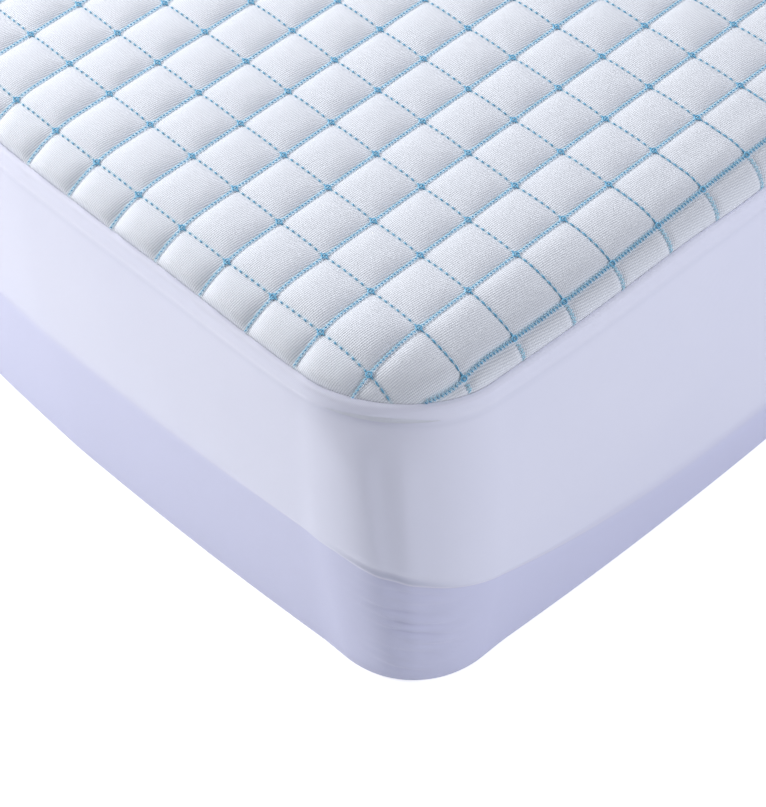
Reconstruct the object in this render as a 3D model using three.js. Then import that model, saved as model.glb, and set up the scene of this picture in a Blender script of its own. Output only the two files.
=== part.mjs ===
// Fitted quilted mattress protector in the shape it takes on a single mattress.
// Millimetres, +Z up. The origin is on the surface it stands on, under its middle.
// The length runs along Y. The protector is open underneath, inside its gathered hem.

import * as THREE from "three";

// Pocket for the mattress, measured inside the skirt at the middle of each side
const mattressWidth = 904;
const mattressLength = 1916;
const quiltHeight = 400;
const cornerRadius = 108;
const cornerPull = 12;
const bowReach = 380;

// Rounded top edge of the mattress, which the panel follows
const shoulderRadius = 46;
const shoulderEase = 9;
const flatMiddleInset = 78;

// Quilting
const cellPitch = 54;
const crownHeight = 5;
const leastEdgeCell = 16;
const gridEdgeMargin = 2;

// Layers of the top panel, from the stitched grooves down
const knitThickness = 1;
const fillThickness = 5;
const fillEdgeThinning = 0.8;
const backingThickness = 0.4;
const membraneThickness = 0.4;
const layerGap = 0.3;

// Seam between the top panel and the skirt
const seamDropEnd = 20;
const seamDropSide = 34;
const seamGap = 0.3;
const bindingThickness = 2.4;
const bindingHeight = 11;
const bindingDrop = 1.5;

// Skirt. Away from the corners its lower part bows out, and its crease falls along the long
// sides. Below the crease the corners tighten towards the foot.
const skirtThickness = 1.5;
const creaseHeightEnd = 173;
const creaseHeightSide = 112;
const creaseFall = 34;
const creaseBelly = 9;
const creaseStep = 12;
const creaseDepth = 6;
const footBelly = 3;
const footCornerRadius = 84;
const lowerBow = 6;
const lowerBowReach = 600;
const hemTurnRadius = 10;
const turnUnderWidth = 6;

// Seam allowance that closes the skirt at the head end
const closingSeamWidth = 9;
const closingSeamThickness = 1.6;
const closingSeamTopInset = 14;
const closingSeamGap = 0.4;

// Elasticated hem band under the mattress, round the mouth
const mouthCornerRadius = 62;
const hemSeamGap = 0.8;
const bandWidth = 48;
const bandCloth = 0.9;
const casingWidth = 22;
const casingTurnBack = 18;
const elasticWidth = 15;
const elasticThickness = 1.1;
const elasticGap = 0.5;
const gatherHeight = 3.5;

// Steps round each corner and along each straight side. The skirt's steps are a multiple
// of the panel's, so that the panel's edge lies inside the skirt's, and so are the hem's.
const gathersPerCorner = 4;
const stepsPerGather = 4;
const panelSteps = { arc: 4, end: 2, side: 4 };
const skirtSteps = { arc: 8, end: 4, side: 8 };
const hemSteps = { arc: gathersPerCorner * stepsPerGather, end: 4, side: 8 };

// Place and fullness of the skirt's belly, place of the ring on the shoulder of the panel's
// layers, and of the wadding's edge between the seam and that ring
const bellyHeightShare = 0.45;
const bellyFullnessShare = 0.75;
const shoulderRingShare = 0.42;
const fillEdgeShare = 0.36;

const halfWidth = mattressWidth / 2;
const halfLength = mattressLength / 2;
const arcCentreX = halfWidth - cornerPull - cornerRadius;
const arcCentreY = halfLength - cornerPull - cornerRadius;
const tightening = cornerRadius - footCornerRadius;
const bandStart = hemTurnRadius + turnUnderWidth + hemSeamGap;
const casingStart = bandStart + bandWidth;
const hemReach = casingStart + casingWidth;
const turnBackEnd = hemReach - casingTurnBack;
const quarterTurn = Math.PI / 2;

const mix = (from, to, share) => from + (to - from) * share;
const smooth = (share) => share * share * (3 - 2 * share);

// Plan of the pocket: a rounded rectangle whose corners are pulled in by the elastic

// Falls from 1 at the end of the corner's arc to 0 at a reach from it
function fadeAt(fromCorner, reach) {
  const left = 1 - Math.min(Math.max(fromCorner / reach, 0), 1);
  return left * left;
}

// How far a side stands in from its middle
const pullAt = (fromCorner) => cornerPull * fadeAt(fromCorner, bowReach);

const sideLineAt = (y) => halfWidth - pullAt(arcCentreY - Math.abs(y));
const endLineAt = (x) => halfLength - pullAt(arcCentreX - Math.abs(x));

// Distance of a plan point inside the wall line
function insetOf(x, y) {
  const beyondX = Math.abs(x) - sideLineAt(y) + cornerRadius;
  const beyondY = Math.abs(y) - endLineAt(x) + cornerRadius;
  const outside = Math.hypot(Math.max(beyondX, 0), Math.max(beyondY, 0));
  return cornerRadius - outside - Math.min(Math.max(beyondX, beyondY), 0);
}

// Stations round the wall line, anticlockwise seen from above. longSide is 1 on the long
// sides and 0 on the ends, and arcShare runs from 0 to 1 round each corner. slack grows from
// 0 at the corners. foot is the wall line's place at the foot, and mouth is the place on the
// mouth's edge that the turned-under hem runs to.
function stationsRound(steps) {
  const stations = [];
  const mouthCentreX = halfWidth - cornerPull + footBelly - hemReach - mouthCornerRadius;
  const mouthCentreY = halfLength - cornerPull + footBelly - hemReach - mouthCornerRadius;
  const corners = [[1, -1], [1, 1], [-1, 1], [-1, -1]];
  corners.forEach(([signX, signY], corner) => {
    const leadsToSide = corner % 2 === 0;
    for (let step = 0; step <= steps.arc; step += 1) {
      const arcShare = step / steps.arc;
      const turn = (corner - 1 + arcShare) * quarterTurn;
      const normal = [Math.cos(turn), Math.sin(turn)];
      const onArc = (centreX, centreY, radius) => [
        signX * centreX + radius * normal[0],
        signY * centreY + radius * normal[1],
      ];
      stations.push({
        normal,
        arcShare,
        longSide: smooth(leadsToSide ? arcShare : 1 - arcShare),
        slack: 0,
        point: onArc(arcCentreX, arcCentreY, cornerRadius),
        foot: onArc(arcCentreX + tightening, arcCentreY + tightening, footCornerRadius),
        mouth: onArc(mouthCentreX, mouthCentreY, mouthCornerRadius),
      });
    }
    const normal = leadsToSide ? [signX, 0] : [0, signY];
    const straightSteps = leadsToSide ? steps.side : steps.end;
    for (let step = 1; step < straightSteps; step += 1) {
      const along = mix(-1, 1, step / straightSteps);
      const arcCentre = leadsToSide ? arcCentreY : arcCentreX;
      const onLine = (distance) =>
        leadsToSide
          ? [signX * sideLineAt(distance), signX * distance]
          : [-signY * distance, signY * endLineAt(distance)];
      stations.push({
        normal,
        arcShare: 0,
        longSide: leadsToSide ? 1 : 0,
        slack: 1 - fadeAt(arcCentre * (1 - Math.abs(along)), lowerBowReach),
        point: onLine(along * arcCentre),
        foot: onLine(along * (arcCentre + tightening)),
        mouth: leadsToSide
          ? [signX * (mouthCentreX + mouthCornerRadius), signX * along * mouthCentreY]
          : [-signY * along * mouthCentreX, signY * (mouthCentreY + mouthCornerRadius)],
      });
    }
  });
  return stations;
}

function insetPoint(station, inset) {
  return [
    station.point[0] - inset * station.normal[0],
    station.point[1] - inset * station.normal[1],
  ];
}

// Height of the stitched grooves over a plan point, falling over the mattress edge
function grooveHeight(x, y) {
  const reach = Math.min(Math.max(shoulderRadius - insetOf(x, y), 0), shoulderRadius);
  return quiltHeight - shoulderRadius + Math.sqrt(shoulderRadius ** 2 - reach ** 2);
}

// Inset from the wall line at which the panel's edge has fallen to the seam
function seamInset(station) {
  const rise = shoulderRadius - mix(seamDropEnd, seamDropSide, station.longSide);
  return shoulderRadius - Math.sqrt(shoulderRadius ** 2 - rise ** 2);
}

const seamHeight = (station) => grooveHeight(...insetPoint(station, seamInset(station)));

// A mesh under construction: shared vertices, and faces anticlockwise seen from outside
class Shell {
  constructor() {
    this.places = [];
    this.faces = [];
  }

  vertex(x, y, z) {
    this.places.push([x, y, z]);
    return this.places.length - 1;
  }

  // Quads between two rings of vertices, the first seen below the second from the side that
  // they face. Facing the other way, they are split along the same diagonals.
  band(first, second, facesBack = false) {
    first.forEach((vertex, i) => {
      const next = (i + 1) % first.length;
      const lower = [vertex, first[next], second[next]];
      const upper = [vertex, second[next], second[i]];
      if (facesBack) this.faces.push(lower.reverse(), upper.reverse());
      else this.faces.push(lower, upper);
    });
  }

  // A flat convex cap on a ring that runs anticlockwise seen from above
  cap(ring, facesUp) {
    for (let i = 1; i < ring.length - 1; i += 1) {
      this.faces.push(facesUp ? [ring[0], ring[i], ring[i + 1]] : [ring[0], ring[i + 1], ring[i]]);
    }
  }

  geometry() {
    const geometry = new THREE.BufferGeometry();
    const positions = new THREE.Float32BufferAttribute(this.places.flat(), 3);
    geometry.setAttribute("position", positions);
    geometry.setIndex(this.faces.flat());
    geometry.computeVertexNormals();
    return geometry;
  }
}

// A closed section, anticlockwise with outward to the right and up, swept round stations
function sweep(stations, sectionAt, placeAt) {
  const shell = new Shell();
  const rings = stations.map((station) =>
    sectionAt(station).map((sectionPoint) => shell.vertex(...placeAt(station, sectionPoint))),
  );
  rings.forEach((ring, i) => {
    shell.band(ring, rings[(i + 1) % rings.length], true);
  });
  return shell.geometry();
}

// Top panel

const cellsAcross = Math.floor((mattressWidth - 2 * leastEdgeCell) / cellPitch);
const cellsAlong = Math.floor((mattressLength - 2 * leastEdgeCell) / cellPitch);

function gridPlace(column, row) {
  return [(column - cellsAcross / 2) * cellPitch, (row - cellsAlong / 2) * cellPitch];
}

// The least inset of the seam is on the long sides, so a crossing is kept by that one
function crossingIsKept(column, row) {
  return insetOf(...gridPlace(column, row)) > seamInset({ longSide: 1 }) + gridEdgeMargin;
}

// Crossings at the corners of each square, or of the half square left at a rounded corner
function quiltedSquares() {
  const squares = [];
  for (let row = 0; row < cellsAlong; row += 1) {
    for (let column = 0; column < cellsAcross; column += 1) {
      const around = [[0, 0], [1, 0], [1, 1], [0, 1]]
        .map(([right, up]) => [column + right, row + up])
        .filter(([right, up]) => crossingIsKept(right, up));
      if (around.length >= 3) squares.push(around);
    }
  }
  return squares;
}

// Adds the crowned squares to a shell and returns their outer edge, anticlockwise
function addCrownedSquares(shell) {
  const crossings = new Map();
  const crossing = ([column, row]) => {
    const key = column * (cellsAlong + 1) + row;
    if (!crossings.has(key)) {
      const [x, y] = gridPlace(column, row);
      crossings.set(key, shell.vertex(x, y, grooveHeight(x, y)));
    }
    return crossings.get(key);
  };
  const after = new Map();
  quiltedSquares().forEach((around) => {
    const ring = around.map(crossing);
    const middle = new THREE.Vector3();
    ring.forEach((vertex) => middle.add(new THREE.Vector3(...shell.places[vertex])));
    middle.divideScalar(ring.length);
    const crown = grooveHeight(middle.x, middle.y) + crownHeight;
    const top = shell.vertex(middle.x, middle.y, crown);
    ring.forEach((vertex, i) => {
      const next = ring[(i + 1) % ring.length];
      shell.faces.push([vertex, next, top]);
      if (!after.has(next)) after.set(next, new Set());
      if (after.get(next).has(vertex)) after.get(next).delete(vertex);
      else if (after.has(vertex)) after.get(vertex).add(next);
      else after.set(vertex, new Set([next]));
    });
  });
  const start = [...after.keys()].find((vertex) => after.get(vertex).size);
  const edge = [];
  for (let vertex = start; edge.length === 0 || vertex !== start; ) {
    edge.push(vertex);
    [vertex] = after.get(vertex);
  }
  return edge;
}

const shoulderInset = (station) => mix(seamInset(station), shoulderRadius, shoulderRingShare);

// A ring of a layer's face at a depth below the grooves
function layerRing(shell, depth, insetAt) {
  return stationsRound(panelSteps).map((station) => {
    const [x, y] = insetPoint(station, insetAt(station));
    return shell.vertex(x, y, grooveHeight(x, y) - depth);
  });
}

// The rings of a layer's face: its edge, the shoulder, where it lies a little lower, and the
// start of the flat middle
function layerRings(shell, depth) {
  return [
    layerRing(shell, depth, seamInset),
    layerRing(shell, depth + shoulderEase, shoulderInset),
    layerRing(shell, depth, () => flatMiddleInset),
  ];
}

function addLayerFace(shell, rings, facesUp) {
  for (let i = 0; i < rings.length - 1; i += 1) {
    shell.band(rings[i], rings[i + 1], !facesUp);
  }
  shell.cap(rings[rings.length - 1], facesUp);
}

// The strip between the panel's edge and the squares, laced along its shortest diagonals
function addEdgeStrip(shell, edge, squaresEdge) {
  const apart = (a, b) =>
    Math.hypot(shell.places[a][0] - shell.places[b][0], shell.places[a][1] - shell.places[b][1]);
  const nearest = squaresEdge.reduce((best, vertex) =>
    apart(vertex, edge[0]) < apart(best, edge[0]) ? vertex : best,
  );
  const first = squaresEdge.indexOf(nearest);
  const outer = [...edge, edge[0]];
  const inner = [...squaresEdge.slice(first), ...squaresEdge.slice(0, first), nearest];
  let i = 0;
  let j = 0;
  while (i < edge.length || j < squaresEdge.length) {
    const outerDone = i === edge.length;
    const innerDone = j === squaresEdge.length;
    const outerIsNear =
      innerDone || (!outerDone && apart(outer[i + 1], inner[j]) < apart(outer[i], inner[j + 1]));
    if (outerIsNear) {
      shell.faces.push([outer[i], outer[i + 1], inner[j]]);
      i += 1;
    } else {
      shell.faces.push([outer[i], inner[j + 1], inner[j]]);
      j += 1;
    }
  }
}

function quiltedFaceKnit() {
  const shell = new Shell();
  const squaresEdge = addCrownedSquares(shell);
  const topEdge = layerRing(shell, 0, seamInset);
  addEdgeStrip(shell, topEdge, squaresEdge);
  const under = layerRings(shell, knitThickness);
  shell.band(under[0], topEdge);
  addLayerFace(shell, under, false);
  return shell.geometry();
}

function plainLayer(depth, thickness) {
  const shell = new Shell();
  const over = layerRings(shell, depth);
  const under = layerRings(shell, depth + thickness);
  return closedLayer(shell, over, under);
}

function closedLayer(shell, over, under) {
  addLayerFace(shell, over, true);
  shell.band(under[0], over[0]);
  addLayerFace(shell, under, false);
  return shell.geometry();
}

// Draws the edge of a layer's face back from the seam, towards the ring on its shoulder
function drawBackEdge([edge, shoulder], shell, lift) {
  edge.forEach((vertex, i) => {
    const [from, to] = [shell.places[vertex], shell.places[shoulder[i]]];
    shell.places[vertex] = from.map((value, axis) => mix(value, to[axis], fillEdgeShare));
    shell.places[vertex][2] += lift;
  });
}

// The wadding stops short of the seam and is thinner at its edge
function fibreFill() {
  const shell = new Shell();
  const over = layerRings(shell, fillDepth);
  const under = layerRings(shell, fillDepth + fillThickness);
  drawBackEdge(over, shell, -fillEdgeThinning);
  drawBackEdge(under, shell, fillEdgeThinning);
  return closedLayer(shell, over, under);
}

const fillDepth = knitThickness + layerGap;
const backingDepth = fillDepth + fillThickness + layerGap;
const membraneDepth = backingDepth + backingThickness + layerGap;
const panelDepth = membraneDepth + membraneThickness;

// Skirt

function creaseHeight(station) {
  return mix(creaseHeightEnd, creaseHeightSide - creaseFall * station.slack, station.longSide);
}

// Inner line of the skirt from the seam to its turn under the mattress, as insets from the
// wall line and heights
function skirtLine(station) {
  const seam = seamInset(station);
  const seamAngle = Math.asin((shoulderRadius - seam) / shoulderRadius);
  const midAngle = (seamAngle + quarterTurn) / 2;
  const wallTop = quiltHeight - shoulderRadius;
  const crease = creaseHeight(station);
  const bow = lowerBow * station.slack;
  const belly = creaseBelly + bow;
  const foot = footBelly + bow;
  const turnShare = 1 - Math.SQRT1_2;
  return [
    [seam - seamGap, seamHeight(station)],
    [shoulderRadius * (1 - Math.sin(midAngle)), wallTop + shoulderRadius * Math.cos(midAngle)],
    [0, wallTop],
    [-belly * bellyFullnessShare, mix(wallTop, crease, bellyHeightShare)],
    [-belly, crease + creaseStep / 2],
    [-belly + creaseDepth, crease - creaseStep / 2],
    [-foot, skirtThickness + hemTurnRadius],
    [-foot + hemTurnRadius * turnShare, skirtThickness + hemTurnRadius * turnShare],
    [-foot + hemTurnRadius, skirtThickness],
    [-foot + hemTurnRadius + turnUnderWidth, skirtThickness],
  ];
}

// A line set off to its outer side by a distance, with mitred corners
function setOff(line, distance) {
  const outward = (from, to) => {
    const run = Math.hypot(to[0] - from[0], to[1] - from[1]);
    return [(to[1] - from[1]) / run, (from[0] - to[0]) / run];
  };
  return line.map((point, i) => {
    const before = outward(line[Math.max(i - 1, 0)], line[Math.max(i, 1)]);
    const last = line.length - 1;
    const behind = outward(line[Math.min(i, last - 1)], line[Math.min(i + 1, last)]);
    const spread = 1 + before[0] * behind[0] + before[1] * behind[1];
    return [
      point[0] + (distance * (before[0] + behind[0])) / spread,
      point[1] + (distance * (before[1] + behind[1])) / spread,
    ];
  });
}

// A point under the mattress, at its reach in from the foot at the ends of the corner's arc.
// It keeps its distance to the mouth, so the edges of the hem are straight along each side.
function hemPlace(station, [reach, height]) {
  const fromMouth = hemReach - reach;
  return [
    station.mouth[0] + fromMouth * station.normal[0],
    station.mouth[1] + fromMouth * station.normal[1],
    height,
  ];
}

// The wall follows the wall line down to the crease, then tightens towards the foot's line
function skirtPlace(station, [inset, height]) {
  const reach = inset + footBelly + lowerBow * station.slack;
  const isTurnedUnder = height < hemTurnRadius && reach > hemTurnRadius + turnUnderWidth / 2;
  if (isTurnedUnder) return hemPlace(station, [reach, height]);
  const top = creaseHeight(station) - creaseStep / 2;
  const share = (top - height) / (top - hemTurnRadius - skirtThickness);
  const tightness = Math.min(Math.max(share, 0), 1);
  return [
    mix(station.point[0], station.foot[0], tightness) - inset * station.normal[0],
    mix(station.point[1], station.foot[1], tightness) - inset * station.normal[1],
    height,
  ];
}

function skirtKnit() {
  const sectionAt = (station) => {
    const inner = skirtLine(station);
    return [...inner, ...setOff(inner, skirtThickness).reverse()];
  };
  return sweep(stationsRound(skirtSteps), sectionAt, skirtPlace);
}

// Inset of the skirt's inner line at a height
function skirtInsetAt(line, height) {
  const i = line.findIndex((point) => point[1] <= height);
  const [upper, lower] = [line[i - 1], line[i]];
  return mix(upper[0], lower[0], (upper[1] - height) / (upper[1] - lower[1]));
}

function seamBinding() {
  const sectionAt = (station) => {
    const line = skirtLine(station);
    const top = seamHeight(station) - panelDepth - bindingDrop;
    const foot = top - bindingHeight;
    const outerTop = skirtInsetAt(line, top) + seamGap;
    const outerFoot = skirtInsetAt(line, foot) + seamGap;
    return [
      [outerTop, top],
      [outerTop + bindingThickness, top],
      [outerFoot + bindingThickness, foot],
      [outerFoot, foot],
    ];
  };
  const placeAt = (station, [inset, height]) => [...insetPoint(station, inset), height];
  return sweep(stationsRound(skirtSteps), sectionAt, placeAt);
}

function skirtClosingSeam() {
  const slack = 1 - fadeAt(arcCentreX, lowerBowReach);
  const line = skirtLine({ longSide: 0, slack, normal: [0, 1], point: [0, endLineAt(0)] });
  const top = quiltHeight - shoulderRadius - closingSeamTopInset;
  const foot = skirtThickness + hemTurnRadius;
  const run = [
    [skirtInsetAt(line, top), top],
    ...line.filter((point) => point[1] < top && point[1] >= foot),
  ];
  const outer = setOff(run, -closingSeamGap);
  const inner = setOff(run, -closingSeamGap - closingSeamThickness);
  const outline = [...outer, ...inner.reverse()].map(
    ([inset, height]) => new THREE.Vector2(endLineAt(0) - inset, height),
  );
  const geometry = new THREE.ExtrudeGeometry(new THREE.Shape(outline), {
    depth: closingSeamWidth,
    bevelEnabled: false,
  });
  geometry.translate(0, 0, -closingSeamWidth / 2);
  const [alongX, alongY, alongZ] = [
    new THREE.Vector3(1, 0, 0),
    new THREE.Vector3(0, 1, 0),
    new THREE.Vector3(0, 0, 1),
  ];
  return geometry.applyMatrix4(new THREE.Matrix4().makeBasis(alongY, alongZ, alongX));
}

// Hem

// Rise of the cloth where it is gathered, from nothing at the casing's start to full where
// the turned-back cloth ends
function gatherRise(station, reach) {
  const wave = (1 - Math.cos(station.arcShare * gathersPerCorner * 2 * Math.PI)) / 2;
  const share = (reach - casingStart) / (turnBackEnd - casingStart);
  return gatherHeight * wave * Math.min(Math.max(share, 0), 1);
}

function gatheredPlace(station, [reach, height]) {
  return hemPlace(station, [reach, height + gatherRise(station, reach)]);
}

// A flat band sewn to the skirt, and folded over the elastic in a casing round the mouth
function hemBand() {
  const top = 2 * bandCloth + 2 * elasticGap + elasticThickness;
  const section = [
    [bandStart, 0],
    [bandStart, bandCloth],
    [casingStart, bandCloth],
    [turnBackEnd, bandCloth],
    [hemReach - bandCloth, bandCloth],
    [hemReach - bandCloth, top - bandCloth],
    [turnBackEnd, top - bandCloth],
    [turnBackEnd, top],
    [hemReach, top],
    [hemReach, 0],
    [turnBackEnd, 0],
    [casingStart, 0],
  ];
  return sweep(stationsRound(hemSteps), () => section, gatheredPlace);
}

function hemElastic() {
  const mouthEdge = hemReach - bandCloth - elasticGap;
  const foot = bandCloth + elasticGap;
  const section = [
    [mouthEdge - elasticWidth, foot],
    [mouthEdge - elasticWidth, foot + elasticThickness],
    [mouthEdge, foot + elasticThickness],
    [mouthEdge, foot],
  ];
  return sweep(stationsRound(hemSteps), () => section, gatheredPlace);
}

// Assembly

const finishes = {
  coolingKnit: { color: 0xe4e8ec, roughness: 0.75, metalness: 0 },
  wadding: { color: 0xf2f2ee, roughness: 0.95, metalness: 0 },
  scrim: { color: 0xeceef0, roughness: 0.9, metalness: 0 },
  film: { color: 0xdfe6ee, roughness: 0.35, metalness: 0 },
  tape: { color: 0xdcdfe8, roughness: 0.85, metalness: 0 },
  skirtJersey: { color: 0xd6d8e6, roughness: 0.85, metalness: 0 },
  elastic: { color: 0xf0f0f2, roughness: 0.7, metalness: 0 },
};

function piece(name, geometry, finish) {
  const mesh = new THREE.Mesh(geometry, new THREE.MeshStandardMaterial(finish));
  mesh.name = name;
  return mesh;
}

const topPanel = new THREE.Group();
topPanel.add(
  piece("quilted_face_knit", quiltedFaceKnit(), finishes.coolingKnit),
  piece("fibre_fill", fibreFill(), finishes.wadding),
  piece("quilt_backing", plainLayer(backingDepth, backingThickness), finishes.scrim),
  piece("waterproof_membrane", plainLayer(membraneDepth, membraneThickness), finishes.film),
);

const skirt = new THREE.Group();
skirt.add(
  piece("seam_binding", seamBinding(), finishes.tape),
  piece("skirt_knit", skirtKnit(), finishes.skirtJersey),
  piece("skirt_closing_seam", skirtClosingSeam(), finishes.tape),
);

const hem = new THREE.Group();
hem.add(
  piece("hem_band", hemBand(), finishes.skirtJersey),
  piece("hem_elastic", hemElastic(), finishes.elastic),
);

const protector = new THREE.Group();
protector.add(topPanel, skirt, hem);

export default protector;
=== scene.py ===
"""Quilted mattress protector: its looks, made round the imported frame.

Metres, +Z up. The panel's shape, the skirt's line and the hem follow the same
measures as the solids, with the finer form that cloth takes between them.
"""
import math

import bpy
import numpy as np
from mathutils import Matrix


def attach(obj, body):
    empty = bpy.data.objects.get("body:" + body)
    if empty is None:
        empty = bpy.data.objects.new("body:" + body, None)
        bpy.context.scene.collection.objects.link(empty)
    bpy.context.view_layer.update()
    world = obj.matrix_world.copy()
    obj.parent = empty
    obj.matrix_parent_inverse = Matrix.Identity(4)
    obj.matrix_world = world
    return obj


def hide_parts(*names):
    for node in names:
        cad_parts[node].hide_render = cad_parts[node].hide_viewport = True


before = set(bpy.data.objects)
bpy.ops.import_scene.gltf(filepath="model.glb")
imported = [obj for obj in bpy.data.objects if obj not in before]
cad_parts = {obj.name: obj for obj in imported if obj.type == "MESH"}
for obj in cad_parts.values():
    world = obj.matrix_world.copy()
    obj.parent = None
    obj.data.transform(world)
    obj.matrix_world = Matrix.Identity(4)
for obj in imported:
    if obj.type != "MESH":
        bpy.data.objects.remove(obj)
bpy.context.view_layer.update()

MM = 0.001
IMAGE_HEIGHT = 807
FOCAL_PIXELS = 2390.3
EYE = (1.2782, -1.6896, 1.8005)
EYE_AXES = ((0.6908, 0.7220, -0.0383), (-0.5425, 0.5526, 0.6327), (0.4780, -0.4163, 0.7735))

# Lamps, each with its place, size, power in watts and colour, and the light of the room
LAMP_AIM = (0.1, -0.5, 0.2)
LAMPS = {
    "left softbox": ((-2.31, -2.65, 1.6), 1.1, 81, (1.0, 1.0, 0.98)),
    "right softbox": ((3.79, 1.17, 1.8), 1.6, 83, (0.935, 0.95, 1.0)),
    "high softbox": ((-1.7, -0.2, 1.8), 1.2, 39.5, (1.0, 1.0, 1.0)),
}
WORLD_LIGHT = 0.33
FLOOR_GLOW = 0.62

# A length greater than any in the part
FAR = 9.0

# Pocket for the mattress
HALF_WIDTH = 452 * MM
HALF_LENGTH = 958 * MM
QUILT_HEIGHT = 400 * MM
CORNER_RADIUS = 108 * MM
CORNER_PULL = 12 * MM
BOW_REACH = 380 * MM
SHOULDER_RADIUS = 46 * MM
END_FALL_START = 56 * MM
END_FALL_RADIUS = 92 * MM
SIDE_FALL = 40 * MM
CORNER_FALL_START = 66 * MM
CORNER_FALL_RADIUS = 100 * MM
CORNER_EDGE_DROP = 15 * MM
EDGE_REACH = 20 * MM
CORNER_SAG_REACH = 270 * MM
ARC_X = HALF_WIDTH - CORNER_PULL - CORNER_RADIUS
ARC_Y = HALF_LENGTH - CORNER_PULL - CORNER_RADIUS

# Quilting: rope rows run along Y, dashed rows along X
CELL = 54 * MM
ROPE_ROWS = 8
DASH_ROWS = 17
CROWN = 5.6 * MM
ROPE_BED = 1.4 * MM
DASH_CROWN = 0.28
TAUT_CROWN = 0.5
EDGE_CROWN = 0.75
EDGE_ROLL = 9 * MM
SIDE_ROW_PULL = 5.5 * MM
SIDE_ROW_REACH = 170 * MM
SIDE_ROW_BEND = 140 * MM
SIDE_ROW_LEAN = 0.35
END_ROW_BOW = 5 * MM

# Threads. Of the rope rows: half width, radius of the zigzag, radius of the ticks and how
# far they reach back over the row. The outermost rows are wider.
ROPE_PITCH = CELL / 16
DASH_PITCH = CELL / 8
END_PITCH = DASH_PITCH / 1.9
ROPE = (1.6 * MM, 0.52 * MM, 0.66 * MM, 0.1)
OUTER_ROPE = (2.3 * MM, 0.42 * MM, 0.5 * MM, 0.8)
ROPE_LIFT = 0.9 * MM
TICK_LIFT = 1.5 * MM
ZIGZAG = ((-1, -1), (0, 1), (1, -1))
ROW_SAMPLES = 24001
DASH_SHARE = 0.34
TAUT_DASH_SHARE = 0.52
DASH_RADIUS = 0.85 * MM
END_HALF = 2.5 * MM
END_RADIUS = 0.55 * MM
KNOT = 2.3 * MM
KNOT_WIRE = 0.6 * MM
KNOT_LIFT = 1.35 * MM
STRAND_SIDES = 5
STRAND_RINGS = 3

# Layers below the stitched grooves
KNIT = 1 * MM
FILL_DEPTH = 1.3 * MM
FILL = 5 * MM
FILL_EDGE = 11 * MM
BACKING_DEPTH = 6.6 * MM
BACKING = 0.4 * MM
MEMBRANE_DEPTH = 7.3 * MM
MEMBRANE = 0.4 * MM

# Seam, skirt and hem
SEAM_INSET_END = 1.2 * MM
SEAM_INSET_SIDE = 0.8 * MM
SEAM_INSET_CORNER = 2.6 * MM
SEAM_INSET_ARC = 1.6 * MM
SEAM_INSET_END_CORNER = -2.5 * MM
SEAM_BOW_REACH = 190 * MM
SEAM_GAP = 0.05 * MM
LIP_RADIUS = 9 * MM
ALLOWANCE = 2 * MM
ALLOWANCE_WIDTH = 24 * MM
CORNER_ALLOWANCE_WIDTH = 17 * MM
BINDING = 2.4 * MM
BINDING_HEIGHT = 11 * MM
BINDING_DROP = 1.5 * MM
SKIRT = 1.5 * MM
CUT_EDGE = 0.25
CREASE_END = 173 * MM
CREASE_SIDE = 72 * MM
CREASE_START = 60 * MM
CREASE_REACH = 168 * MM
CREASE_ZONE = 24 * MM
CREASE_STEP_SIDE = 15 * MM
CREASE_STEP_CORNER = 5 * MM
CREASE_RIDGE = 1.3 * MM
CORNER_TUCK = 2.4 * MM
BELLY = 9 * MM
CREASE_DEPTH = 6 * MM
FOOT_BELLY = 3 * MM
FOOT_RADIUS = 84 * MM
LOWER_BOW = 6 * MM
LOWER_BOW_REACH = 600 * MM
TURN_RADIUS = 10 * MM
TURN_UNDER = 6 * MM
HEM_GAP = 0.8 * MM
BAND = 48 * MM
BAND_CLOTH = 0.9 * MM
CASING = 22 * MM
TURN_BACK = 18 * MM
ELASTIC_WIDTH = 15 * MM
ELASTIC = 1.1 * MM
ELASTIC_GAP = 0.5 * MM
GATHER_HEIGHT = 3.3 * MM
GATHERS = 8
MOUTH_RADIUS = 62 * MM

BAND_START = TURN_RADIUS + TURN_UNDER + HEM_GAP
CASING_START = BAND_START + BAND
HEM_REACH = CASING_START + CASING
TURN_BACK_END = HEM_REACH - TURN_BACK
MOUTH_X = HALF_WIDTH - CORNER_PULL + FOOT_BELLY - HEM_REACH - MOUTH_RADIUS
MOUTH_Y = HALF_LENGTH - CORNER_PULL + FOOT_BELLY - HEM_REACH - MOUTH_RADIUS

# Section of the closing seam, in mm: places across it and depths inside the skirt
CLOSING_SECTION = (
    *((-4.5, 0.65), (-3.6, 0.4), (0, 0.4), (3.6, 0.4), (4.5, 0.65)),
    *((4.5, 1.7), (3.6, 2.0), (0, 1.75), (-3.6, 2.0), (-4.5, 1.7)),
)

# Folds of the skirt by each corner. Of each dent, in mm: depth, place and reach along the
# wall, then place and reach below the seam allowance.
DENTS = ((4.8, -30, 46, 8, 11), (1.4, 50, 50, 7, 9))
SLOW_WAVE = 0.9 * MM
CORNER_WAVE = 0.4 * MM
RIDGE = 3.6 * MM
RIDGE_AT = -32 * MM
RIDGE_LEAN = 0.05
RIDGE_REACH = (30 * MM, 12 * MM)
SECOND_RIDGE = 1.7 * MM
RUMPLE = 1 * MM

# Counts: stations on each corner's arc, end and long side, then rows over the cloth
FACE_STEPS = (64, 256, 640)
LAYER_STEPS = (24, 32, 64)
SKIRT_STEPS = (44, 90, 190)
TAPE_STEPS = (24, 30, 60)
HEM_STEPS = (GATHERS * 10, 24, 50)
STITCH_STEPS = (GATHERS * 10, 120, 300)
FACE_RINGS = 26
LAYER_RINGS = 9
SUBDIVISIONS = 14
INNER_INSET = 27 * MM
SKIRT_ROWS = (38, 34, 44)
TURN_ROWS = 9
CLOSING_ROWS = 60


def mix(a, b, t):
    return a + (b - a) * t


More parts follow.
